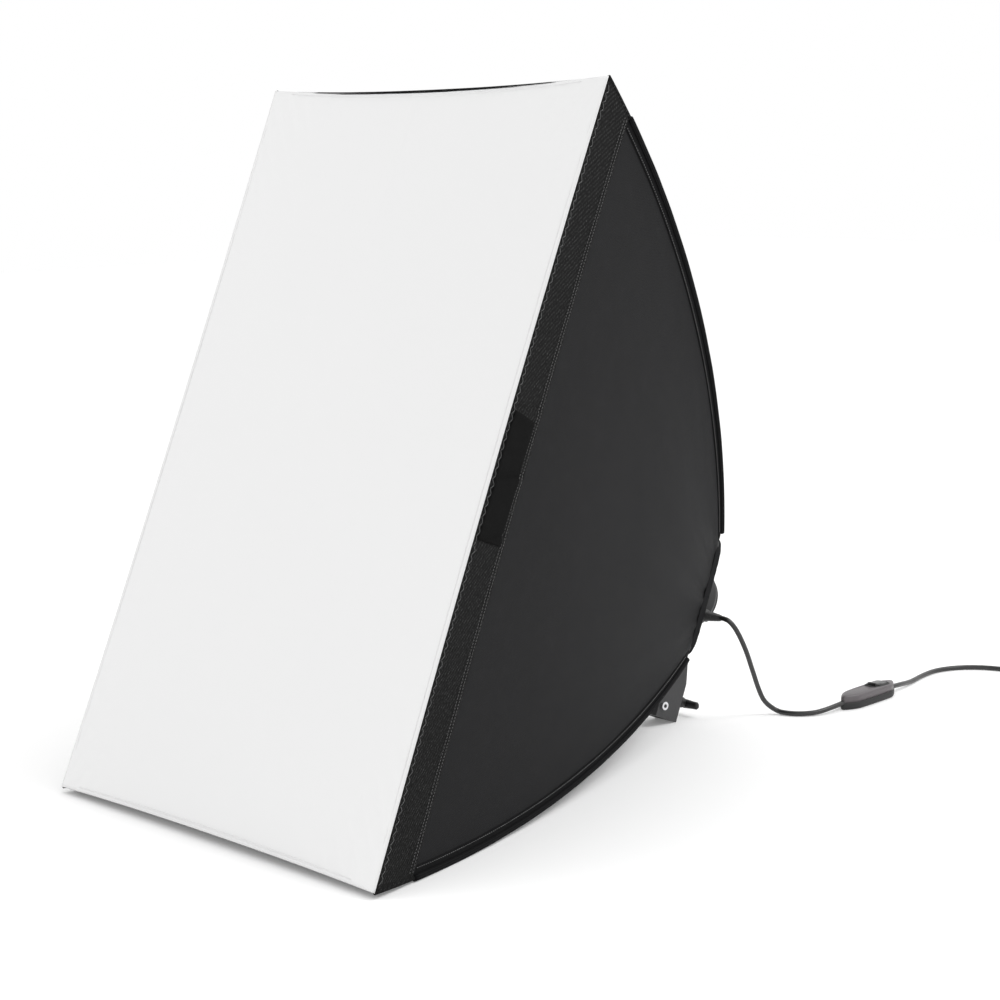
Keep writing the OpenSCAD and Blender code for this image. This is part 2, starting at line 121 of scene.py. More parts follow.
class Sock:
    """One value in a shader: arithmetic on it adds Math nodes."""

    def __init__(self, graph, socket):
        self.graph, self.socket = graph, socket

    def _math(self, operation, *others):
        return self.graph.node("ShaderNodeMath", {"operation": operation}, *others)

    def __add__(self, other):
        return self._math("ADD", self, other)

    __radd__ = __add__

    def __mul__(self, other):
        return self._math("MULTIPLY", self, other)

    __rmul__ = __mul__

    def __sub__(self, other):
        return self._math("SUBTRACT", self, other)

    def __rsub__(self, other):
        return self._math("SUBTRACT", other, self)

    def __truediv__(self, other):
        return self._math("DIVIDE", self, other)

    def __pow__(self, other):
        return self._math("POWER", self, other)

    def __gt__(self, other):
        return self._math("GREATER_THAN", self, other)

    def __lt__(self, other):
        return self._math("LESS_THAN", self, other)

    def __mod__(self, other):
        return self._math("FLOORED_MODULO", self, other)

    def __abs__(self):
        return self._math("ABSOLUTE", self)

    def sin(self):
        return self._math("SINE", self)

    def floor(self):
        return self._math("FLOOR", self)

    def top(self, other):
        return self._math("MAXIMUM", self, other)

    def low(self, other):
        return self._math("MINIMUM", self, other)


class Graph:
    """A material under construction, with one shader and one bump."""

    def __init__(self, name, roughness=0.6, **fixed):
        self.material = bpy.data.materials.new(name)
        self.material.use_nodes = True
        self.tree = self.material.node_tree
        self.shader = self.tree.nodes["Principled BSDF"]
        self.shader.inputs["Roughness"].default_value = roughness
        for key, value in fixed.items():
            self.shader.inputs[key.replace("_", " ")].default_value = value

    def node(self, kind, options=None, *values, out=0, **named):
        """Adds a node: options are set first, then values or links of its sockets."""
        made = self.tree.nodes.new(kind)
        for key, value in (options or {}).items():
            if key == "stops":
                ramp = made.color_ramp
                while len(ramp.elements) < len(value):
                    ramp.elements.new(0.5)
                for element, (place, tone) in zip(ramp.elements, value):
                    element.position, element.color = place, (*tone, 1.0)
            else:
                setattr(made, key, value)
        for key, value in [*enumerate(values), *named.items()]:
            socket = made.inputs[key if isinstance(key, int) else key.replace("_", " ")]
            if isinstance(value, Sock):
                self.tree.links.new(value.socket, socket)
            else:
                socket.default_value = value
        return Sock(self, made.outputs[out])

    def coords(self, layer=None):
        """Metres on the cloth from its own layer, or metres in space."""
        if layer:
            return self.node("ShaderNodeUVMap", {"uv_map": layer})
        return self.node("ShaderNodeTexCoord", None, out=3)

    def axes(self, vector):
        """The three parts of a vector."""
        split = self.node("ShaderNodeSeparateXYZ", None, vector)
        outs = split.socket.node.outputs
        return [Sock(self, outs[i]) for i in range(3)]

    def noise(self, vector, scale, detail=3.0, rough=0.5, stretch=None):
        """Soft noise from 0 to 1, with scale in waves per metre."""
        if stretch:
            vector = self.node("ShaderNodeVectorMath", {"operation": "MULTIPLY"}, vector, stretch)
        return self.node("ShaderNodeTexNoise", None, Vector=vector, Scale=scale, Detail=detail,
                         Roughness=rough)

    def mix(self, factor, first, second):
        """Mixes two colours."""
        made = self.tree.nodes.new("ShaderNodeMix")
        made.data_type = "RGBA"
        for index, value in ((0, factor), (6, first), (7, second)):
            if isinstance(value, Sock):
                self.tree.links.new(value.socket, made.inputs[index])
            elif index:
                made.inputs[index].default_value = (*value, 1.0)
            else:
                made.inputs[index].default_value = value
        return Sock(self, made.outputs[2])

    def set(self, **links):
        """Links or sets sockets of the shader."""
        for key, value in links.items():
            socket = self.shader.inputs[key.replace("_", " ")]
            if isinstance(value, Sock):
                self.tree.links.new(value.socket, socket)
            elif hasattr(value, "__len__") and len(value) == 3:
                socket.default_value = (*value, 1.0)
            else:
                socket.default_value = value
        return self

    def bump(self, height, distance, strength=1.0):
        """Gives the shader a bump of that height in metres."""
        made = self.node("ShaderNodeBump", None, Strength=strength, Distance=distance, Height=height)
        self.tree.links.new(made.socket, self.shader.inputs["Normal"])
        return self


def scaled(tone, factor):
    """A colour made lighter or darker."""
    return tuple(min(1.0, channel * factor) for channel in tone)


MATERIALS = {}


def finish_named(name):
    """A finish from its own function, made once."""
    if name not in MATERIALS:
        MATERIALS[name] = FINISHES[name]().material
    return MATERIALS[name]


def nylon():
    """Plain-woven black nylon: fine threads, a soft sheen and faint handling marks."""
    g = Graph("nylon", 0.62, Specular_IOR_Level=0.05)
    base = settings()[1].nylon
    cloth = g.coords("cloth")
    x, y, _ = g.axes(cloth)
    pitch = 1100.0
    over = ((x * pitch).floor() + (y * pitch).floor()) % 2.0
    warp = (x * (math.pi * pitch)).sin()
    weft = (y * (math.pi * pitch)).sin()
    weave = over * abs(warp) + (1.0 - over) * abs(weft)
    cloud = g.noise(cloth, 5.0, 3.0)
    fine = g.noise(cloth, 60.0, 3.0, 0.6)
    crease = g.noise(cloth, 9.0, 3.0, 0.55, (1.0, 0.28, 1.0))
    tone = g.mix(weave * 0.25 + cloud * 0.5, scaled(base, 0.78), scaled(base, 1.35))
    tone = g.mix((fine - 0.5).top(0.0) * 0.8, tone, scaled(base, 1.6))
    g.set(Base_Color=tone, Roughness=0.56 + cloud * 0.12 - weave * 0.05)
    return g.bump(weave * 0.12 + crease * 1.0 + fine * 0.08, 0.0016, 0.55)


def binding_tape():
    """Ribbed grosgrain tape along the seams."""
    g = Graph("binding_tape", 0.7, Specular_IOR_Level=0.04)
    cloth = g.coords("cloth")
    _, y, _ = g.axes(cloth)
    rib = (y * (TAU * 520.0)).sin() * 0.5 + 0.5
    fuzz = g.noise(cloth, 400.0, 2.0)
    base = scaled(settings()[1].nylon, 0.5)
    g.set(Base_Color=g.mix(rib * 0.5 + fuzz * 0.3, scaled(base, 0.7), scaled(base, 1.9)))
    return g.bump(rib + fuzz * 0.3, 0.0005, 0.6)


def webbing():
    """Coarse twill webbing: diagonal ribs, with lighter threads among the black ones."""
    g = Graph("webbing", 0.74, Specular_IOR_Level=0.06)
    tones = settings()[1]
    cloth = g.coords("cloth")
    x, y, _ = g.axes(cloth)
    count = 430.0
    wobble = g.noise(cloth, 120.0, 2.0) * 0.35
    diagonal = ((x * 0.8 + y) * (math.pi * count) + wobble * 4.0).sin()
    thread = ((y - x * 0.6) * (math.pi * count * 1.25)).sin()
    rib = abs(diagonal)
    light = (g.noise(cloth, 900.0, 2.0, 0.7, (0.35, 1.0, 1.0)) - 0.46).top(0.0) * 5.0
    speck = (rib * (thread * 0.5 + 0.5) * light).low(1.0)
    patch = g.noise(cloth, 14.0, 3.0)
    tone = g.mix(speck * (0.55 + patch * 0.5), tones.webbing, tones.thread)
    g.set(Base_Color=tone, Roughness=0.68 + patch * 0.14)
    return g.bump(rib * 0.8 + thread * 0.25 + light * 0.1, 0.0009, 0.7)


def loop_pile():
    """Hook-and-loop pile: a matted fuzz."""
    g = Graph("loop_pile", 0.95, Specular_IOR_Level=0.04)
    cloth = g.coords("cloth")
    fuzz = g.noise(cloth, 620.0, 4.0, 0.75)
    mat = g.noise(cloth, 70.0, 3.0)
    base = settings()[1].webbing
    g.set(Base_Color=g.mix(fuzz * 0.6 + mat * 0.3, scaled(base, 0.5), scaled(base, 1.5)))
    return g.bump(fuzz + mat * 0.5, 0.0012, 0.8)


def diffuser_cloth():
    """White polyester that spreads the light: close weave, faint creases and a soft glow."""
    g = Graph("diffuser_cloth", 0.82, Sheen_Weight=0.2, Sheen_Roughness=0.5)
    base = settings()[1].diffuser
    cloth = g.coords("cloth")
    x, y, _ = g.axes(cloth)
    pitch = 1300.0
    weave = abs((x * (math.pi * pitch)).sin()) * abs((y * (math.pi * pitch)).sin())
    crease = g.noise(cloth, 4.5, 3.0, 0.5, (1.0, 0.35, 1.0))
    cloud = g.noise(cloth, 2.4, 2.0)
    tone = g.mix(weave * 0.3 + cloud * 0.35, scaled(base, 0.965), scaled(base, 1.02))
    g.set(Base_Color=tone)
    return g.bump(weave * 0.06 + crease, 0.0022, 0.35)


def silver_lining():
    """Pebbled silver reflector cloth."""
    g = Graph("silver_lining", 0.45, Metallic=0.35)
    cloth = g.coords("cloth")
    cell = g.node("ShaderNodeTexVoronoi", {"feature": "F1"}, Vector=cloth, Scale=420.0)
    crease = g.noise(cloth, 14.0, 4.0)
    g.set(Base_Color=g.mix(cell * 0.5 + crease * 0.3, (0.88, 0.89, 0.90), (0.72, 0.73, 0.75)))
    g.set(Roughness=0.4 + crease * 0.2)
    return g.bump(cell + crease * 1.2, 0.0011, 0.6)


def stitch_thread():
    """Twisted sewing thread."""
    g = Graph("stitch_thread", 0.6, Sheen_Weight=0.3)
    twist = (g.axes(g.coords())[2] * (TAU * 900.0)).sin() * 0.5 + 0.5
    g.set(Base_Color=g.mix(twist, (0.035, 0.035, 0.035), (0.11, 0.11, 0.11)))
    return g.bump(twist, 0.0002, 0.5)


def moulded(name, tone, roughness, scale=700.0, depth=0.00025, coat=0.0):
    """Moulded plastic with a spark-eroded texture and slightly polished high spots."""
    g = Graph(name, roughness, Coat_Weight=coat, Coat_Roughness=0.25)
    space = g.coords()
    grain = g.noise(space, scale, 3.0, 0.6)
    handled = g.noise(space, 34.0, 3.0)
    g.set(Base_Color=g.mix(grain * 0.4 + handled * 0.4, scaled(tone, 0.8), scaled(tone, 1.5)))
    g.set(Roughness=roughness - 0.06 + handled * 0.16)
    return g.bump(grain, depth, 0.6)


def black_paint():
    """Powder-coated steel: orange peel, with bright rubbed spots."""
    g = Graph("black_paint", 0.42, Coat_Weight=0.15, Coat_Roughness=0.3)
    space = g.coords()
    peel = g.noise(space, 480.0, 2.0)
    rub = (g.noise(space, 110.0, 4.0, 0.7) - 0.66).top(0.0) * 6.0
    base = (0.022, 0.022, 0.023)
    tone = g.mix(rub.low(1.0) * 0.35, g.mix(peel, base, scaled(base, 1.5)), (0.28, 0.28, 0.29))
    g.set(Base_Color=tone, Roughness=0.36 + peel * 0.16, Metallic=rub.low(1.0) * 0.5)
    return g.bump(peel, 0.00035, 0.5)


def bright_steel():
    """Zinc-plated turned steel with fine lathe lines."""
    g = Graph("bright_steel", 0.26, Metallic=1.0)
    space = g.coords()
    stain = g.noise(space, 90.0, 4.0)
    line = g.noise(space, 900.0, 2.0, 0.5, (1.0, 1.0, 0.15))
    g.set(Base_Color=g.mix(stain * 0.8, (0.80, 0.80, 0.82), (0.55, 0.55, 0.56)),
          Roughness=0.16 + stain * 0.22)
    return g.bump(line, 0.0001, 0.4)


def rod_steel():
    """Ground spring steel."""
    g = Graph("rod_steel", 0.33, Metallic=1.0)
    space = g.coords()
    stain = g.noise(space, 26.0, 4.0)
    line = g.noise(space, 700.0, 2.0, 0.5, (0.2, 0.2, 1.0))
    g.set(Base_Color=g.mix(stain, (0.62, 0.62, 0.64), (0.42, 0.42, 0.43)), Roughness=0.24 + line * 0.25)
    return g.bump(line, 0.0001, 0.4)


def metal_of(name, light, dark, roughness):
    """Plain sheet metal with soft stains."""
    g = Graph(name, roughness, Metallic=1.0)
    stain = g.noise(g.coords(), 120.0, 4.0)
    g.set(Base_Color=g.mix(stain, light, dark), Roughness=roughness - 0.08 + stain * 0.2)
    return g.bump(stain, 0.0001, 0.4)


def ceramic():
    """Glazed ceramic of the lamp holder."""
    g = Graph("holder_ceramic", 0.25, Coat_Weight=0.6, Coat_Roughness=0.1)
    speck = g.noise(g.coords(), 260.0, 3.0)
    g.set(Base_Color=g.mix(speck * 0.5, (0.84, 0.82, 0.78), (0.70, 0.67, 0.62)), Roughness=0.2 + speck * 0.12)
    return g.bump(speck, 0.0002, 0.3)


def frosted():
    """Frosted globe of the bulb."""
    g = Graph("bulb_glass", 0.5, Coat_Weight=0.4, Coat_Roughness=0.2)
    haze = g.noise(g.coords(), 70.0, 3.0)
    g.set(Base_Color=g.mix(haze, (0.92, 0.92, 0.90), (0.84, 0.84, 0.81)), Roughness=0.42 + haze * 0.16)
    return g.bump(haze, 0.0001, 0.3)


def cord_rubber():
    """Satin black cord sheath, with faint drag marks and dust."""
    g = Graph("cord_rubber", 0.34, Coat_Weight=0.25, Coat_Roughness=0.25)
    space = g.coords()
    dust = g.noise(space, 320.0, 4.0, 0.7)
    drag = g.noise(space, 60.0, 3.0)
    base = (0.012, 0.012, 0.012)
    g.set(Base_Color=g.mix((dust - 0.5).top(0.0) * 0.6, base, (0.10, 0.10, 0.10)),
          Roughness=0.26 + drag * 0.24)
    return g.bump(dust, 0.00015, 0.4)


def floor_paint():
    """Matt white floor."""
    g = Graph("floor_paint", 0.85, Specular_IOR_Level=0.2, Emission_Color=(1.0, 1.0, 1.0, 1.0),
              Emission_Strength=0.14)
    base = settings()[1].floor
    g.set(Base_Color=g.mix(g.noise(g.coords(), 3.0, 2.0) * 0.5, base, scaled(base, 0.99)))
    return g


FINISHES = {
    "nylon": nylon, "binding_tape": binding_tape, "webbing": webbing, "loop_pile": loop_pile,
    "diffuser_cloth": diffuser_cloth, "silver_lining": silver_lining, "stitch_thread": stitch_thread,
    "black_paint": black_paint, "bright_steel": bright_steel, "rod_steel": rod_steel,
    "holder_ceramic": ceramic, "bulb_glass": frosted, "cord_rubber": cord_rubber, "floor_paint": floor_paint,
    "black_plastic": lambda: moulded("black_plastic", settings()[1].plastic, 0.5),
    "black_gloss": lambda: moulded("black_gloss", scaled(settings()[1].plastic, 0.8), 0.3, coat=0.3),
    "switch_grey": lambda: moulded("switch_grey", settings()[1].switch_top, 0.42, coat=0.15),
    "bulb_white": lambda: moulded("bulb_white", (0.82, 0.82, 0.81), 0.4),
    "contact_brass": lambda: metal_of("contact_brass", (0.75, 0.56, 0.26), (0.45, 0.31, 0.12), 0.35),
    "cap_aluminium": lambda: metal_of("cap_aluminium", (0.75, 0.75, 0.74), (0.55, 0.55, 0.55), 0.3),
}
CAD_FINISH = {
    "hub_plate": "black_paint", "hinge_pins": "bright_steel", "housing": "black_plastic",
    "housing_cap": "black_plastic", "housing_screws": "bright_steel", "holder_shell": "holder_ceramic",
    "holder_contact": "contact_brass", "bulb_cap": "cap_aluminium", "bulb_body": "bulb_white",
    "bulb_globe": "bulb_glass", "tilt_lug": "black_paint", "cheeks": "black_paint",
    "socket_block": "black_paint", "block_bolts": "bright_steel", "pivot_bolt": "black_paint",
    "pivot_knob": "black_plastic", "clamp_screw": "bright_steel", "plug_pins": "bright_steel",
    "rod_tr": "rod_steel", "rod_tl": "rod_steel", "rod_br": "rod_steel", "rod_bl": "rod_steel",
}


# ---------------------------------------------------------------- the leaning shell

FRONT_SAG = (3.0 * MM, 7.5 * MM, 3.0 * MM, 3.0 * MM)
WALL_BELLY = 4.5 * MM
BANDS_AT = {"panel": -0.5, "lining": -1.75, "band": 0.9, "loop": -2.8, "strip": -4.0}


class Shell:
    """The curved box in its own leaning directions: x is width, y runs back, z runs up the front."""

    def __init__(self):
        sizes = settings()[0]
        self.half = (sizes.front_w / 2, sizes.front_h / 2)
        self.depth, self.band_w = sizes.depth, sizes.band_w
        diag = math.hypot(*self.half)
        chord = math.hypot(diag - sizes.throat, sizes.depth)
        rise = sizes.bow * chord
        self.radius = (chord * chord / 4 + rise * rise) / (2 * rise)
        run = (self.radius - rise) / chord
        self.mid_s = (diag + sizes.throat) / 2 - sizes.depth * run
        self.mid_y = sizes.depth / 2 - (diag - sizes.throat) * run
        self.diag = diag
        forward = Vector(JOINTS["diffuser_off"]["axis"])
        self.axes = (Vector((1, 0, 0)), -forward, Vector((0, forward.z, -forward.y)))
        hinge = Vector(JOINTS["fold"]["pos_m"])
        self.origin = hinge - self.place(0, self.depth, -self.wide(1, self.depth), Vector())

    def place(self, x, y, z, origin=None):
        """Where a point of the shell comes to stand."""
        start = self.origin if origin is None else origin
        return start + self.axes[0] * x + self.axes[1] * y + self.axes[2] * z

    def share(self, y):
        """How wide the shell is at a depth, against its front."""
        return (self.mid_s + math.sqrt(self.radius ** 2 - (y - self.mid_y) ** 2)) / self.diag

    def wide(self, which, y):
        """Half width (0) or half height (1) at a depth."""
        return self.half[which] * self.share(y)

    def give(self, side, s, y):
        """How far the cloth of a wall has sunk in between its rods."""
        middle = (1 - min(abs(s), 1.0) ** 2.2)
        edge = FRONT_SAG[side] * math.exp(-max(y, 0.0) / 0.11)
        belly = WALL_BELLY * math.sin(math.pi * min(max(y / self.depth, 0.0), 1.0)) ** 1.2
        return (edge + belly) * middle

    def wall(self, side, s, y, out=0.0, trim=0.0):
        """A point on a wall: s runs from -1 to 1 across it, out is its distance outwards."""
        out = out - self.give(side, s, y)
        upright = side % 2 == 0
        near, far = (0, 1) if upright else (1, 0)
        sign = 1 if side in (0, 1) else -1
        slope = (self.wide(near, y + MM) - self.wide(near, y - MM)) / (2 * MM)
        size = math.hypot(1, slope)
        reach = self.wide(near, y) + out / size
        back = y - out * slope / size
        along = s * (self.wide(far, y) - trim)
        return self.place(sign * reach, back, along) if upright else self.place(along, back, sign * reach)


def new_mesh(name, verts, faces, finish, smooth=True, uvs=None):
    """A mesh object with one finish and, if given, cloth metres for each corner."""
    data = bpy.data.meshes.new(name)
    data.from_pydata([tuple(v) for v in verts], [], faces)
    if uvs:
        layer = data.uv_layers.new(name="cloth")
        for loop in data.loops:
            layer.data[loop.index].uv = uvs[loop.vertex_index]
    data.polygons.foreach_set("use_smooth", [smooth] * len(data.polygons))
    data.materials.append(finish_named(finish))
    data.update()
    made = bpy.data.objects.new(name, data)
    bpy.context.scene.collection.objects.link(made)
    return made


def sheet_mesh(name, at, across, along, thick, finish, size):
    """A closed thin sheet: at(u, v) gives its middle for u and v from 0 to 1, size its metres."""
    grid = [[at(i / across, j / along) for j in range(along + 1)] for i in range(across + 1)]
    verts, uvs = [], []
    for face in (0.5, -0.5):
        for i in range(across + 1):
            for j in range(along + 1):
                du = grid[min(i + 1, across)][j] - grid[max(i - 1, 0)][j]
                dv = grid[i][min(j + 1, along)] - grid[i][max(j - 1, 0)]
                verts.append(grid[i][j] + du.cross(dv).normalized() * thick * face)
                uvs.append((i / across * size[0], j / along * size[1]))
    row = along + 1
    back = row * (across + 1)
    faces = []
    for i in range(across):
        for j in range(along):
            a, b, c, d = i * row + j, (i + 1) * row + j, (i + 1) * row + j + 1, i * row + j + 1
            faces.append((a, b, c, d))
            faces.append((back + d, back + c, back + b, back + a))
    rim = [i * row for i in range(across + 1)] + [across * row + j for j in range(1, row)]
    rim += [i * row + along for i in range(across - 1, -1, -1)] + [j for j in range(along - 1, 0, -1)]
    for k, first in enumerate(rim):
        second = rim[(k + 1) % len(rim)]
        faces.append((second, first, back + first, back + second))
    made = new_mesh(name, verts, faces, finish, uvs=uvs)
    area = sum(
        (grid[i + 1][j] - grid[i][j]).cross(grid[i][j + 1] - grid[i][j]).length
        for i in range(across) for j in range(along)
    )
    return made, area


def stitches(name, lines, pitch, finish="stitch_thread", thick=0.7 * MM, share=0.62):
    """Rows of sunk sewing stitches: each line is points with the way out of the cloth."""
    verts, faces = [], []
    for line in lines:
        for k in range(len(line) - 1):
            (start, out), (stop, _) = line[k], line[k + 1]
            span = stop - start
            count = max(1, round(span.length / pitch))
            run = span.normalized()
            side = run.cross(out).normalized()
            for i in range(count):
                first = start + span * ((i + (1 - share) / 2) / count)
                last = start + span * ((i + (1 + share) / 2) / count)
                base = len(verts)
                for at, lift, wide in ((0.0, -0.2, 0.5), (0.22, 0.75, 1.0), (0.78, 0.75, 1.0),
                                       (1.0, -0.2, 0.5)):
                    middle = first.lerp(last, at) + out * (lift * thick * 0.6)
                    for turn in range(5):
                        angle = TAU * turn / 5
                        ring = side * math.cos(angle) + out * math.sin(angle)
                        verts.append(middle + ring * (thick * 0.5 * wide))
                for ring in range(3):
                    for turn in range(5):
                        a = base + ring * 5 + turn
                        b = base + ring * 5 + (turn + 1) % 5
                        faces.append((a, b, b + 5, a + 5))
                faces.append(tuple(base + t for t in range(4, -1, -1)))
                faces.append(tuple(base + 15 + t for t in range(5)))
    return new_mesh(name, verts, faces, finish)


def tube_mesh(name, path, radii, finish, sides=12, flat=1.0, up=None):
    """A closed tube along points, one radius for each."""
    verts, faces = [], []
    frame_up = up or Vector((0, 0, 1))
    for k, point in enumerate(path):
        run = (path[min(k + 1, len(path) - 1)] - path[max(k - 1, 0)]).normalized()
        if abs(run.dot(frame_up)) > 0.95:
            frame_up = Vector((1, 0, 0))
        side = run.cross(frame_up).normalized()
        top = side.cross(run)
        for turn in range(sides):
            angle = TAU * turn / sides
            verts.append(point + side * math.cos(angle) * radii[k] + top * math.sin(angle) * radii[k] * flat)
    for k in range(len(path) - 1):
        for turn in range(sides):
            a, b = k * sides + turn, k * sides + (turn + 1) % sides
            faces.append((a, b, b + sides, a + sides))
    faces.append(tuple(range(sides - 1, -1, -1)))
    faces.append(tuple((len(path) - 1) * sides + t for t in range(sides)))
    far = [0.0]
    for first, second in zip(path, path[1:]):
        far.append(far[-1] + (second - first).length)
    uvs = [(far[k], TAU * turn / sides * max(radii)) for k in range(len(path)) for turn in range(sides)]
    return new_mesh(name, verts, faces, finish, uvs=uvs)


def lathe(name, origin, axis, profile, finish, sides=48, ripple=None):
    """A turned solid: the profile is pairs of distance along the axis and radius, from cap to cap."""
    axis = Vector(axis).normalized()
    side = axis.cross(Vector((0, 0, 1)) if abs(axis.z) < 0.9 else Vector((1, 0, 0))).normalized()
    top = side.cross(axis)
    verts, faces = [], []
    for along, radius in profile:
        for turn in range(sides):
            angle = TAU * turn / sides
            size = radius * (ripple(along, angle) if ripple else 1.0)
            verts.append(origin + axis * along + (side * math.cos(angle) + top * math.sin(angle)) * size)
    for k in range(len(profile) - 1):
        for turn in range(sides):
            a, b = k * sides + turn, k * sides + (turn + 1) % sides
            faces.append((a, b, b + sides, a + sides))
    faces.append(tuple(range(sides - 1, -1, -1)))
    faces.append(tuple((len(profile) - 1) * sides + t for t in range(sides)))
    return new_mesh(name, verts, faces, finish)


def smooth_path(points, cuts):
    """A smooth curve through points, as the frame's own cord runs."""
    out = []
    for k in range(len(points) - 1):
        p0, p1, p2, p3 = (points[min(max(k + d, 0), len(points) - 1)] for d in (-1, 0, 1, 2))
        for j in range(cuts):
            t = j / cuts
            out.append(0.5 * (2 * p1 + (p2 - p0) * t + (2 * p0 - 5 * p1 + 4 * p2 - p3) * t * t
                              + (3 * p1 - p0 - 3 * p2 + p3) * t ** 3))
    return out + [points[-1]]


def place(piece, body, slot, *nodes):
    """Rides a piece on a body and hides what it stands for; the slot is not used."""
    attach(piece, body)
    if nodes:
        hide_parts(*nodes)
    return piece


# ---------------------------------------------------------------- wall joint names and own meshes

def fold_joint(side):
    """The joint that swings a wall."""
    return "fold" if side == 3 else "fold_" + SIDES[side]


def crumple(shell, side, *pieces):
    """Gives each piece of a wall its own mesh copy."""
    upright = side % 2 == 0
    axis = shell.axes[2] if upright else shell.axes[0]
    for piece in pieces:
        fold_joint(side)
        tuple(axis)
        tuple(shell.origin)
        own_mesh(piece)


# ---------------------------------------------------------------- operators

class StageOperator(bpy.types.Operator):
    """Sets the camera, the floor and the lights."""

    bl_idname = "softbox.stage"
    bl_label = "Stage"

    def execute(self, context):
        data = bpy.data.cameras.new("camera")
        data.sensor_width = 36.0
        data.lens = CAMERA["lens"]
        data.shift_x, data.shift_y = CAMERA["shift"]
        camera = bpy.data.objects.new("camera", data)
        azimuth, elevation = CAMERA["azimuth"], CAMERA["elevation"]
        look = Vector((-math.sin(azimuth) * math.cos(elevation),
                       math.cos(azimuth) * math.cos(elevation), -math.sin(elevation)))
        camera.location = CAMERA["place"]
        camera.rotation_mode = "QUATERNION"
        upright = Matrix.Rotation(CAMERA["roll"], 4, look).to_quaternion()
        camera.rotation_quaternion = upright @ look.to_track_quat("-Z", "Y")
        context.scene.collection.objects.link(camera)
        context.scene.camera = camera

        reach = 9.0
        floor = new_mesh("floor", [(-reach, -reach, 0), (reach, -reach, 0), (reach, reach, 0),
                                   (-reach, reach, 0)],
                         [(0, 1, 2, 3)], "floor_paint", smooth=False)
        world = bpy.data.worlds.new("studio")
        world.use_nodes = True
        world.node_tree.nodes["Background"].inputs[0].default_value = (1.0, 1.0, 1.0, 1.0)
        world.node_tree.nodes["Background"].inputs[1].default_value = 1.0
        context.scene.world = world
        context.scene.view_settings.view_transform = "Standard"
        for name, spot, size, power in LIGHTS:
            lamp = bpy.data.lights.new(name, "AREA")
            lamp.shape, lamp.size, lamp.energy = "SQUARE", size, power
            holder = bpy.data.objects.new(name, lamp)
            holder.location = spot
            holder.rotation_mode = "QUATERNION"
            holder.rotation_quaternion = (Vector((0, 0, 0.3)) - Vector(spot)).to_track_quat("-Z", "Y")
            context.scene.collection.objects.link(holder)
        return {"FINISHED"}


CAMERA = {
    "lens": 85.24, "shift": (-0.10, -0.025), "azimuth": math.radians(46.19), "elevation": math.radians(8.24),
    "place": (1.7994, -1.5458, 0.6462), "roll": math.radians(1.26),
}
LIGHTS = (("key", (-1.8, -2.4, 2.6), 2.2, 9.0), ("side", (1.3, 1.0, 1.95), 0.8, 17.0),
          ("back", (0.5, 3.0, 2.4), 2.0, 12.0))

# The cord's way in millimetres: off the gland, to the switch, past it and to the coil
LEAD_ROUTE = ((26, 0, 0), (54, 0, 0), (63, 0, 0), (70, 2, -3), (75, 8, -14), (76, 20, -36), (73, 34, -62),
              (69, 48, -86), (69, 58, -102))
LEAD_FLOOR = ((75, 372, 5), (88, 376, 3), (102, 384, 3), (112, 398, 3.6), (117, 416, 6), (118.2, 436, 8.2))
TAIL_ROUTE = ((109.8, 532, 8.2), (107, 550, 7), (98, 582, 3.6), (88, 616, 3), (84, 648, 3), (94, 676, 3),
              (116, 696, 3), (146, 706, 3), (182, 712, 3), (222, 716, 3), (262, 718, 3))
COIL_AT = (312, 757)
COIL_TURNS = 6.5
COIL_RADII = (37.5, 26.4)
END_ROUTE = ((296, 794.5, 8.4), (280, 794.5, 9), (266, 794.5, 9.2))
SWITCH_AT, SWITCH_TURN, SWITCH_L = Vector((0.114, 0.484, 0.0)), math.radians(95), 0.096
PLUG_AT = Vector((0.270, 0.7945, 0.0092))
GLAND_LOCAL = (0.0, 0.543, -0.018)


def coil_path():
    """Turns that wind in along the floor and out again on top."""
    steps, path = 24, []
    total = int(COIL_TURNS * steps)
    half = total / 2
    for k in range(total + 1):
        angle = -math.pi / 2 + TAU * k / steps
        inward = 1 - abs(k - half) / half
        radius = COIL_RADII[0] + (COIL_RADII[1] - COIL_RADII[0]) * inward
        climb = min(max((k - half + steps / 2) / steps, 0.0), 1.0)
        height = 3.0 + 5.5 * climb
        path.append((COIL_AT[0] + radius * math.cos(angle), COIL_AT[1] + radius * math.sin(angle), height))
    return path


class CordOperator(bpy.types.Operator):
    """Lays the cord from its gland through the switch to the coil and the plug."""

    bl_idname = "softbox.cord"
    bl_label = "Cord"

    def execute(self, context):
        shell, sizes = Shell(), settings()[0]
        gland = shell.place(*GLAND_LOCAL)
        lead = [gland * 1000 + Vector(p) - Vector((gland.x * 1000, 0, 0)) for p in LEAD_ROUTE]
        lead += [Vector(p) for p in LEAD_FLOOR]
        tail = [Vector(p) for p in (*TAIL_ROUTE, *coil_path(), *END_ROUTE)]
        route = smooth_path(lead, 4) + smooth_path(tail, 3)
        curve = bpy.data.curves.new("cord", "CURVE")
        curve.dimensions = "3D"
        curve.bevel_depth = sizes.cord_d / 2
        curve.bevel_resolution = 5
        curve.use_fill_caps = True
        spline = curve.splines.new("POLY")
        spline.points.add(len(route) - 1)
        for knot, point in zip(spline.points, route):
            knot.co = (*(point * MM), 1.0)
        curve.materials.append(finish_named("cord_rubber"))
        piece = bpy.data.objects.new("cord", curve)
        context.scene.collection.objects.link(piece)
        place(piece, "lamp", "cord_rubber", "cord_lead", "cord_tail", "cord_coil", "cord_end")
        whole = sum((b - a).length for a, b in zip(route, route[1:])) * MM
        on_cord = [make_plug(), *make_switch(), make_relief(gland), NODES["plug_pins"], make_tie()]
        tuple(route[0] * MM)
        return {"FINISHED"}


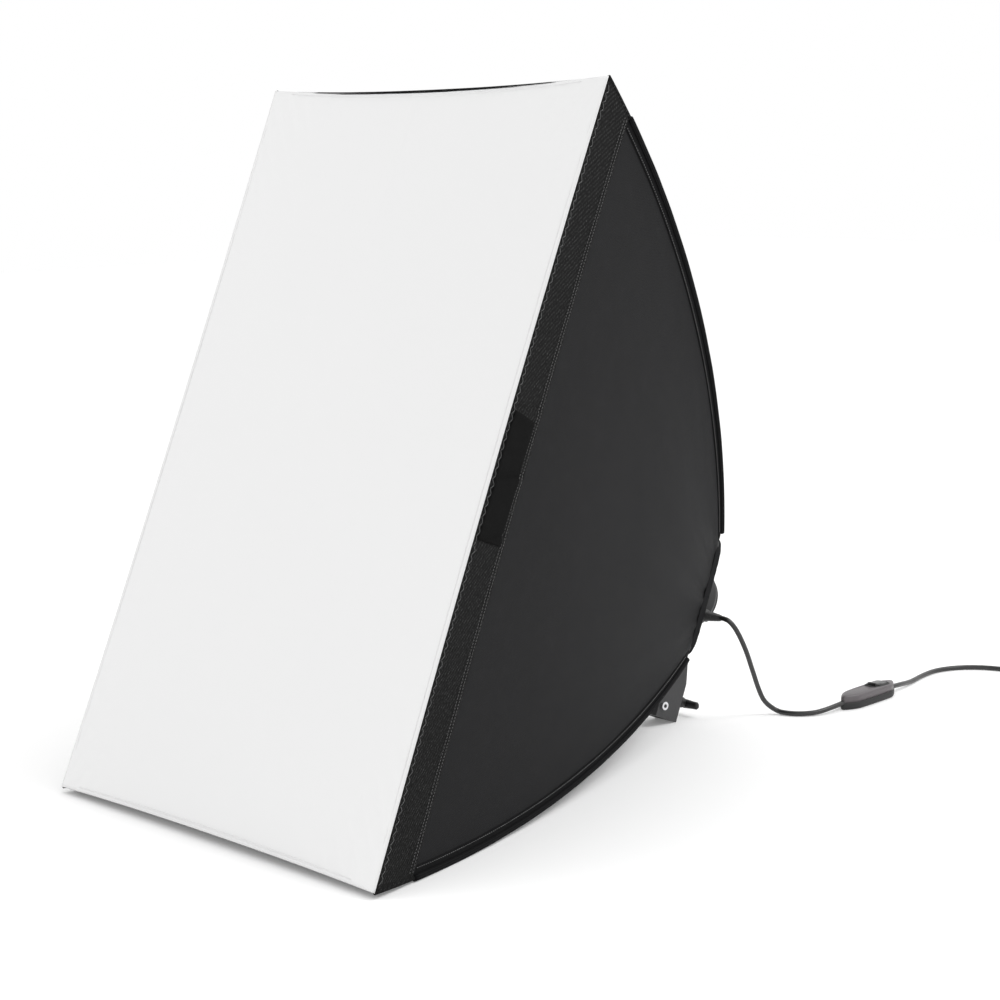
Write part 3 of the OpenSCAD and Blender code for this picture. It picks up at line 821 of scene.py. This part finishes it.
def make_plug():
    """Moulded plug with a grip and a ribbed boot."""
    profile = [(0, 3.2), (1, 4.0), (3, 4.2), (4, 3.6), (6, 4.9), (7, 4.3), (9, 5.8), (10, 5.2), (13, 7.2),
               (15, 8.6), (17, 9.0), (22, 8.9),
               (24, 8.1), (31, 8.1), (33, 8.9), (39, 9.0), (40, 8.4), (40, 2.0)]

    def grip(along, angle):
        ribbed = 0.022 < along < 0.034
        return 1.0 - (0.03 * (0.5 + 0.5 * math.cos(angle * 16)) if ribbed else 0.0)

    made = lathe("plug", PLUG_AT, (-1, 0, 0), [(a * MM, r * MM) for a, r in profile], "black_plastic", 64,
                 grip)
    return place(made, "lamp", "black_plastic", "plug_body")


def make_relief(gland):
    """Tapered, ribbed strain relief."""
    profile = [(24, 4.1), (35.2, 4.1), (35.3, 6.9), (37.0, 6.9), (37.2, 6.1)]
    for k in range(9):
        at = 37.4 + k * 2.1
        size = 6.0 - k * 0.25
        profile += [(at, size), (at + 1.2, size - 0.1), (at + 1.3, size - 0.9), (at + 2.0, size - 0.95)]
    profile += [(56.6, 3.7), (57.9, 3.4), (58.0, 2.8)]
    made = lathe("strain_relief_boot", gland, (1, 0, 0), [(a * MM, r * MM) for a, r in profile],
                 "cord_rubber", 40)
    return place(made, "lamp", "cord_rubber", "strain_relief")


def make_tie():
    """Hook-and-loop strap round the coil."""
    mid = Vector((COIL_AT[0] - 32, COIL_AT[1], 5.7)) * MM
    half_w, half_h, wide = 9.4 * MM, 5.6 * MM, 7 * MM
    path = []
    for k in range(33):
        angle = TAU * k / 32
        squircle = 1 / max(abs(math.cos(angle)) ** 3 + abs(math.sin(angle)) ** 3, 1e-6) ** (1 / 3)
        path.append(mid + Vector((math.cos(angle) * half_w, 0, math.sin(angle) * half_h)) * squircle * 0.98)
    verts, faces = [], []
    for point in path[:-1]:
        out = (point - mid).normalized() * 0.5 * MM
        for shift, lift in ((-wide, 0), (wide, 0), (wide, 1), (-wide, 1)):
            verts.append(point + Vector((0, shift, 0)) + out * lift)
    count = len(path) - 1
    for k in range(count):
        for turn in range(4):
            a, b = k * 4 + turn, k * 4 + (turn + 1) % 4
            nxt = ((k + 1) % count - k) * 4
            faces.append((a, b, b + nxt, a + nxt))
    made = new_mesh("coil_tie", verts, faces, "binding_tape", uvs=[(v.x, v.y) for v in verts])
    return place(made, "lamp", "webbing")


def pill(half_l, width, nose, count):
    """Outline of the switch: a long body that narrows to each end."""
    points = []
    for k in range(count):
        angle = TAU * k / count
        c, s = math.cos(angle), math.sin(angle)
        x = math.copysign(abs(c) ** 0.55, c) * half_l
        narrow = 1 - (1 - nose) * min(max((abs(x) / half_l - 0.62) / 0.38, 0.0), 1.0) ** 1.6
        points.append((x, math.copysign(abs(s) ** 0.6, s) * width * narrow))
    return points


def shell_of(name, levels, outline_of, finish):
    """Stacked outlines closed into a solid: each level is a height and how far its outline is drawn in."""
    verts, faces = [], []
    turn = Matrix.Rotation(SWITCH_TURN, 3, "Z")
    count = len(outline_of(0.0, 0.0))
    for height, inset in levels:
        for x, y in outline_of(inset, height):
            lift = 0.9 * MM * (1 - (x / (SWITCH_L / 2)) ** 2) if height > 12 * MM else 0.0
            verts.append(SWITCH_AT + turn @ Vector((x, y, height + lift)))
    for k in range(len(levels) - 1):
        for i in range(count):
            a, b = k * count + i, k * count + (i + 1) % count
            faces.append((a, b, b + count, a + count))
    faces.append(tuple(range(count - 1, -1, -1)))
    faces.append(tuple((len(levels) - 1) * count + i for i in range(count)))
    return new_mesh(name, verts, faces, finish)


def make_switch():
    """Two moulded halves, with the rocker in a raised collar."""
    def outline(inset, _height):
        return pill(SWITCH_L / 2 + 2 * MM - inset, 13 * MM - inset, 0.42, 96)

    lower = shell_of("switch_base", [(0.2 * MM, 2.2 * MM), (0.8 * MM, 0.9 * MM), (2.4 * MM, 0.1 * MM),
                                     (7.4 * MM, 0.0),
                                     (8.0 * MM, 0.5 * MM), (8.1 * MM, 1.4 * MM)], outline, "black_plastic")
    upper = shell_of("switch_cover", [(8.15 * MM, 1.5 * MM), (8.3 * MM, 0.7 * MM), (13.2 * MM, 0.9 * MM),
                                      (15.0 * MM, 1.5 * MM), (16.0 * MM, 2.8 * MM), (16.4 * MM, 4.4 * MM)],
                     outline, "switch_grey")
    turn = Matrix.Rotation(SWITCH_TURN, 3, "Z")
    verts, faces = [], []
    inner, outer = (12.4, 8.1), (14.6, 10.2)
    rings = ((outer, 14.6), (outer, 17.0), (((outer[0] + inner[0]) / 2, (outer[1] + inner[1]) / 2), 17.9),
             (inner, 17.4), (inner, 14.6))
    for (half_x, half_y), height in rings:
        for k in range(48):
            angle = TAU * k / 48
            c, s = math.cos(angle), math.sin(angle)
            x = math.copysign(abs(c) ** 0.4, c) * half_x + 18.5
            y = math.copysign(abs(s) ** 0.4, s) * half_y
            verts.append(SWITCH_AT + turn @ (Vector((x, y, height)) * MM))
    for ring in range(5):
        for k in range(48):
            a, b = ring * 48 + k, ring * 48 + (k + 1) % 48
            up = (ring + 1) % 5 * 48 - ring * 48
            faces.append((a, b, b + up, a + up))
    collar = new_mesh("switch_collar", verts, faces, "black_plastic")
    place(lower, "lamp", "black_plastic", "switch_lower")
    place(upper, "lamp", "switch_grey", "switch_upper")
    place(collar, "lamp", "black_plastic")

    key_verts, key_faces = [], []
    levels = ((-2.0, 0.0), (3.0, 0.0), (3.9, 0.5), (4.3, 1.4))
    tilt = Matrix.Rotation(math.radians(6), 3, "Y")
    for height, inset in levels:
        for k in range(40):
            angle = TAU * k / 40
            c, s = math.cos(angle), math.sin(angle)
            x = math.copysign(abs(c) ** 0.35, c) * (11.4 - inset)
            y = math.copysign(abs(s) ** 0.35, s) * (7.4 - inset)
            dish = 1.5 * (abs(x) / 11.4) ** 2 - 0.9 if height > 2.5 else 0.0
            spot = tilt @ Vector((x, y, height + dish)) + Vector((18.5, 0, 15))
            key_verts.append(SWITCH_AT + turn @ (spot * MM))
    for ring in range(3):
        for k in range(40):
            a, b = ring * 40 + k, ring * 40 + (k + 1) % 40
            key_faces.append((a, b, b + 40, a + 40))
    key_faces.append(tuple(range(39, -1, -1)))
    key_faces.append(tuple(120 + k for k in range(40)))
    key = new_mesh("switch_key", key_verts, key_faces, "black_gloss")
    place(key, "key", "black_gloss", "rocker")
    return [lower, upper, collar, key]


class WallsOperator(bpy.types.Operator):
    """Sews the four walls: nylon panels, bound edges, silver linings, woven bands and loop tapes."""

    bl_idname = "softbox.walls"
    bl_label = "Walls"

    def execute(self, context):
        shell = Shell()
        for side in range(4):
            make_wall(shell, side)
        return {"FINISHED"}


def wall_sheet(shell, side, name, finish, across, along, thick, y0, y1, at, trim=0.0, rough=None):
    """One layer of a wall from depth y0 to y1, at that many millimetres outwards."""
    wide = 2 * shell.wide(1 if side % 2 == 0 else 0, 0)

    def spot(u, v):
        s, y = 2 * u - 1, y0 + (y1 - y0) * v
        extra = rough(s, y) if rough else 0.0
        return shell.wall(side, s, y, at * MM + extra, trim)

    return sheet_mesh(name, spot, across, along, thick, finish, (wide, y1 - y0))


def make_wall(shell, side):
    """The layers of one wall."""
    key = SIDES[side]
    body = "wall_" + key
    upright = side % 2 == 0
    width = shell.wide(1 if upright else 0, 0.2) * 2
    wander = Vector((3.1 * side, 7.7, 1.3))

    def creased(s, y):
        near_hub = max(y / shell.depth - 0.55, 0.0) / 0.45
        pleat = noise.noise(wander + Vector((s * 7.0, y * 3.0, 0.0))) * 1.6 * near_hub ** 1.5
        pull = noise.noise(wander + Vector((s * 2.2 + y * 5, y * 6.0, 4.0))) * 0.9
        corner = math.sin((abs(s) * 26 + y * 60)) * 0.35 * max(abs(s) - 0.72, 0.0) / 0.28
        fine = noise.noise(wander + Vector((s * 12, y * 30, 2.0))) * 0.18
        return (pleat + pull + corner + fine) * MM * (1 - abs(s) ** 8)

    panel, area = wall_sheet(shell, side, "panel_cloth_" + key, "nylon", 110, 120, 0.5 * MM, 0.001,
                             shell.depth + 0.001, BANDS_AT["panel"], 1.2 * MM, creased)
    place(panel, body, "nylon", "panel_" + key)
    binds = []
    for end in (-1, 1):
        def edge(u, v):
            y = 0.046 + (shell.depth - 0.002 - 0.046) * v
            half = shell.wide(1 if upright else 0, y)
            inner = half - (1.0 + 9.0 * u) * MM
            return shell.wall(side, end * inner / half, y, (0.25 + 0.35 * math.sin(math.pi * u)) * MM)

        tape, _ = sheet_mesh(f"binding_{key}_{'a' if end < 0 else 'b'}", edge, 6, 90, 0.5 * MM,
                             "binding_tape",
                             (9 * MM, shell.depth))
        place(tape, body, "webbing")
        binds.append(tape)
    rows = []
    for end in (-1, 1):
        line = []
        for k in range(41):
            y = 0.05 + (shell.depth - 0.06) * k / 40
            half = shell.wide(1 if upright else 0, y)
            s = end * (half - 8.2 * MM) / half
            here = shell.wall(side, s, y, 0.75 * MM)
            line.append((here, (shell.wall(side, s, y, 3 * MM) - here).normalized()))
        rows.append(line)
    seam = stitches("seam_stitches_" + key, rows, 3.2 * MM)
    place(seam, body, "webbing")

    lining, _ = wall_sheet(shell, side, "lining_cloth_" + key, "silver_lining", 70, 70, 0.4 * MM, 0.001,
                           shell.depth - 0.001, BANDS_AT["lining"], 2.6 * MM, creased)
    place(lining, body, "silver_lining", "lining_" + key)
    loop, _ = wall_sheet(shell, side, "loop_tape_" + key, "loop_pile", 60, 6, 0.8 * MM, 0.002, 0.024,
                         BANDS_AT["loop"], 30 * MM)
    place(loop, body, "webbing", "loop_" + key)
    band_pieces = make_band(shell, side, body)
    pieces = [panel, *binds, seam, lining, loop, *band_pieces]
    flat = (width, shell.depth * 1.08)
    min(area, flat[0] * flat[1])
    crumple(shell, side, *pieces)


def make_band(shell, side, body):
    """Woven band round the front, with its tucks, stitch rows and hook-and-loop stretch."""
    key = SIDES[side]
    upright = side % 2 == 0
    width = shell.band_w
    trim = -1.2 * MM if upright else 0.1 * MM
    half = shell.wide(1 if upright else 0, 0.02)
    tucks = (62, -3, -60) if upright else ()

    def heave(s, y):
        z = s * half * 1000
        puff = noise.noise(Vector((z * 0.02, y * 22, 9.0 + side))) * 0.5
        for spot in tucks:
            lean = z - spot - (y * 1000 - 24) * 0.35
            puff += 0.9 * math.exp(-(lean / 5.0) ** 2) - 1.5 * math.exp(-((lean - 6.5) / 2.2) ** 2)
        ease = min(y / 0.006, (width - y) / 0.006, 1.0)
        return puff * MM * max(ease, 0.0)

    band, _ = wall_sheet(shell, side, "band_cloth_" + key, "webbing", 220, 16, 1.3 * MM, 0.0002, width,
                         BANDS_AT["band"], trim, heave)
    place(band, body, "webbing", "band_" + key)
    made = [band]

    def on_band(s, y, lift=1.75):
        here = shell.wall(side, s, y, lift * MM + heave(s, y))
        return here, (shell.wall(side, s, y, (lift + 3) * MM) - here).normalized()

    rows = [[on_band(-0.985 + 1.97 * k / 120, y) for k in range(121)]
            for y in (width - 3.5 * MM, width - 7.5 * MM)]
    made.append(stitches("band_stitches_" + key, rows, 3.4 * MM))
    count = 170 if upright else 116
    zigzag = [[on_band(-0.985 + 1.97 * k / count, 0.0016 + 0.0034 * (k % 2)) for k in range(count + 1)]]
    made.append(stitches("hem_zigzag_" + key, zigzag, 8 * MM, thick=0.6 * MM, share=0.95))
    if upright:
        def patch(u, v):
            s = (-58 + 118 * u) * MM / half
            y = 0.005 + 0.035 * v
            return shell.wall(side, s, y, 1.95 * MM + heave(s, y))

        strap, _ = sheet_mesh("band_patch_" + key, patch, 60, 10, 0.9 * MM, "loop_pile", (0.118, 0.035))
        made.append(strap)
    for piece in made[1:]:
        place(piece, body, "webbing")
    return made


class DiffuserOperator(bpy.types.Operator):
    """Stretches the white cloth over the front."""

    bl_idname = "softbox.diffuser"
    bl_label = "Diffuser"

    def execute(self, context):
        shell = Shell()
        half_w, half_h = shell.half[0] + 1.2 * MM, shell.half[1] + 1.2 * MM

        def spot(u, v):
            p, q = 2 * u - 1, 2 * v - 1
            right = half_w - shell.give(0 if p > 0 else 2, q, 0.0)
            top = half_h - shell.give(1 if q > 0 else 3, p, 0.0)
            x, z = p * right, q * top
            rim = min((1 - abs(p)) * half_w, (1 - abs(q)) * half_h)
            bulge = 2.2 * (1 - p * p) * (1 - q * q)
            edge = min(rim / 0.012, 1.0)
            fold = 0.8 * math.exp(-((x + 0.012 - 0.02 * (q - 1)) / 0.004) ** 2) * max(q - 0.55, 0.0) / 0.45
            ripple = noise.noise(Vector((x * 9, z * 6, 3.0))) * 1.1
            ripple += noise.noise(Vector((x * 24, z * 17, 1.0))) * 0.25
            corner = max(abs(p) + abs(q) - 1.45, 0.0) / 0.55
            pull = math.sin((abs(x) * 1.3 - abs(z)) * 190) * 0.6 * corner
            roll = 0.8 * (1 - edge) ** 2
            return shell.place(x, (-1.3 - bulge + roll) * MM - (fold + ripple + pull) * MM * edge, z)

        cloth, area = sheet_mesh("diffuser_cloth", spot, 150, 210, 0.7 * MM, "diffuser_cloth",
                                 (2 * half_w, 2 * half_h))
        place(cloth, "front", "diffuser_cloth", "diffuser")
        pieces = []
        for side in range(4):
            strip, _ = wall_sheet(shell, side, "hook_strip_" + SIDES[side], "diffuser_cloth", 60, 6, 0.8 * MM,
                                  -0.0004, 0.020, BANDS_AT["strip"], 32 * MM)
            place(strip, "front", "diffuser_cloth", *(["diffuser_strips"] if side == 0 else []))
            pieces.append(strip)
        for piece in (cloth, *pieces):
            tuple(shell.origin)
            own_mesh(piece)
        return {"FINISHED"}


class CornersOperator(bpy.types.Operator):
    """Adds the corded seams, the bound front corners and the pockets of the rods."""

    bl_idname = "softbox.corners"
    bl_label = "Corners"

    def execute(self, context):
        shell = Shell()
        across, up = shell.half[0] / shell.diag, shell.half[1] / shell.diag
        for key, (sx, sz) in CORNERS.items():
            def at(radius_in, y):
                s = shell.mid_s + math.sqrt((shell.radius + radius_in) ** 2 - (y - shell.mid_y) ** 2)
                return shell.place(sx * across * s, y, sz * up * s)

            ys = [shell.band_w + 3 * MM + (shell.depth - 4 * MM - shell.band_w) * k / 90 for k in range(91)]
            path = [at(1.3 * MM + noise.noise(Vector((y * 30, sx, sz))) * 0.25 * MM, y) for y in ys]
            seam = tube_mesh("corded_seam_" + key, path, [3.1 * MM] * len(path), "binding_tape", 16)
            place(seam, "arm_" + key, "webbing", "piping_" + key)
            path = [at(0.9 * MM, 0.4 * MM + (shell.band_w + 1.6 * MM) * k / 20) for k in range(21)]
            bound = tube_mesh("bound_corner_" + key, path, [2.1 * MM] * 21, "webbing", 14)
            place(bound, "arm_" + key, "webbing")
            path = [at(-19 * MM, 1.5 * MM + 29 * MM * k / 24) for k in range(25)]
            radii = [(5.0 + 0.25 * math.sin(k * 1.9)) * MM * (0.55 if k in (0, 24) else 1.0)
                     for k in range(25)]
            pocket = tube_mesh("pocket_cloth_" + key, path, radii, "webbing", 20)
            place(pocket, "arm_" + key, "webbing", "pocket_" + key)
        return {"FINISHED"}


class HubOperator(bpy.types.Operator):
    """Gathers the sleeve round the housing and finishes the hardware."""

    bl_idname = "softbox.hub"
    bl_label = "Hub"

    def execute(self, context):
        shell = Shell()
        end = shell.depth + 1 * MM
        wide, high = shell.wide(0, end), shell.wide(1, end)

        def rim(angle):
            c, s = math.cos(angle), math.sin(angle)
            power = 7.0
            size = (abs(c / (wide - 0.6 * MM)) ** power + abs(s / (high - 0.6 * MM)) ** power) ** (-1 / power)
            return c * size, s * size

        def spot(u, v):
            angle = TAU * u
            ox, oz = rim(angle)
            ix, iz = 34.9 * MM * math.cos(angle), 34.9 * MM * math.sin(angle)
            t = max((v - 0.3) / 0.7, 0.0)
            x, z = ox + (ix - ox) * t, oz + (iz - oz) * t
            rise = 9.0 * math.sin(min(v / 0.34, 1.0) * math.pi / 2)
            pleat = (math.cos(angle * 44) * 0.9 + math.cos(angle * 71 + 1) * 0.4) * (0.25 + 0.75 * t)
            return shell.place(x, end + (0.5 + rise * 0.95 + pleat * 0.7) * MM, z)

        sleeve, area = sheet_mesh("gathered_sleeve", spot, 420, 26, 0.6 * MM, "nylon", (0.4, 0.05))
        place(sleeve, "lamp", "nylon", "sleeve")
        ring = lathe("sleeve_elastic", shell.place(0, end + 8.6 * MM, 0), shell.axes[1],
                     [(0, 34.2 * MM), (0, 35.6 * MM), (1.2 * MM, 36.3 * MM), (4.6 * MM, 36.3 * MM),
                      (5.6 * MM, 35.4 * MM),
                      (5.6 * MM, 34.2 * MM)], "binding_tape", 132, lambda _a,
                      angle: 1 + 0.006 * math.cos(angle * 44))
        place(ring, "lamp", "webbing")
        make_handle(shell)
        # painted shade: black discs on the bolt heads stand in for the shaded socket recesses
        make_painted_bolt_shade()
        for name, finish in CAD_FINISH.items():
            node = NODES[name]
            node.data.materials.clear()
            node.data.materials.append(finish_named(finish))
        return {"FINISHED"}


def make_handle(shell):
    """Moulded T handle of the stand clamp."""
    screw = NODES["clamp_handle"]
    corners = [screw.matrix_world @ Vector(c) for c in screw.bound_box]
    middle = sum(corners, Vector()) / 8
    axis = shell.axes[1]
    stem_at = middle - axis * 11 * MM
    stem = lathe("handle_stem", stem_at, axis,
                 [(0, 5.2 * MM), (0.6 * MM, 6.0 * MM), (11 * MM, 6.0 * MM), (13 * MM, 4.8 * MM),
                 (21 * MM, 4.6 * MM), (22 * MM, 3.6 * MM)], "black_plastic", 40)
    profile = [(-20, 1.2), (-19.6, 3.0), (-18, 4.2), (-12, 4.3), (-5, 4.9), (0, 5.2), (5, 4.9), (12, 4.3),
               (18, 4.2),
               (19.6, 3.0), (20, 1.2)]
    flat = lambda _along, angle: 0.72 + 0.28 * abs(math.sin(angle)) ** 1.5
    wing = lathe("handle_wing", stem_at + axis * 16.5 * MM, shell.axes[0],
                 [(a * MM, r * MM) for a, r in profile],
                 "black_plastic", 40, flat)
    place(stem, "clamp", "black_plastic", "clamp_handle")
    place(wing, "clamp", "black_plastic")


def make_painted_bolt_shade():
    """Black round discs in the middle of the heads of the bracket's two bolts, one on each side: painted
    shade standing in for their dark socket recesses.
    """
    bolts = NODES["block_bolts"]
    corners = [bolts.matrix_world @ Vector(c) for c in bolts.bound_box]
    middle = sum(corners, Vector()) / 8
    reach = max(c.x for c in corners) - middle.x
    for side, name in ((1, "right"), (-1, "left")):
        face = middle + Vector((side * (reach - 0.6 * MM), 0, 0))
        # painted shade: a thin black disc on the bolt face in place of the shaded recess of its socket
        shade_disc = lathe("bolt_recess_" + name, face, (side, 0, 0), [(0, 2.1 * MM), (0.75 * MM, 2.1 * MM)],
                       "black_plastic", 32)
        place(shade_disc, "bracket", "black_plastic")


class SoftboxPanel(bpy.types.Panel):
    """Sizes, colours and build steps in the sidebar."""

    bl_idname = "VIEW3D_PT_softbox"
    bl_label = "Softbox"
    bl_space_type = "VIEW_3D"
    bl_region_type = "UI"
    bl_category = "Softbox"

    def draw(self, context):
        for group in settings():
            for name in group.bl_rna.properties.keys():
                if name not in ("rna_type", "name"):
                    self.layout.prop(group, name)
        for operator in STEPS:
            self.layout.operator(operator.bl_idname)


STEPS = (StageOperator, CordOperator, WallsOperator, DiffuserOperator, CornersOperator, HubOperator)
CLASSES = (SoftboxSizes, SoftboxColours, *STEPS, SoftboxPanel)


def register():
    for item in CLASSES:
        bpy.utils.register_class(item)
    bpy.types.Scene.softbox_sizes = bpy.props.PointerProperty(type=SoftboxSizes)
    bpy.types.Scene.softbox_colours = bpy.props.PointerProperty(type=SoftboxColours)


def unregister():
    del bpy.types.Scene.softbox_sizes
    del bpy.types.Scene.softbox_colours
    for item in reversed(CLASSES):
        bpy.utils.unregister_class(item)


def main():
    """Builds every piece in order."""
    register()
    for step in STEPS:
        family, name = step.bl_idname.split(".")
        getattr(getattr(bpy.ops, family), name)()


if __name__ == "__main__":
    main()
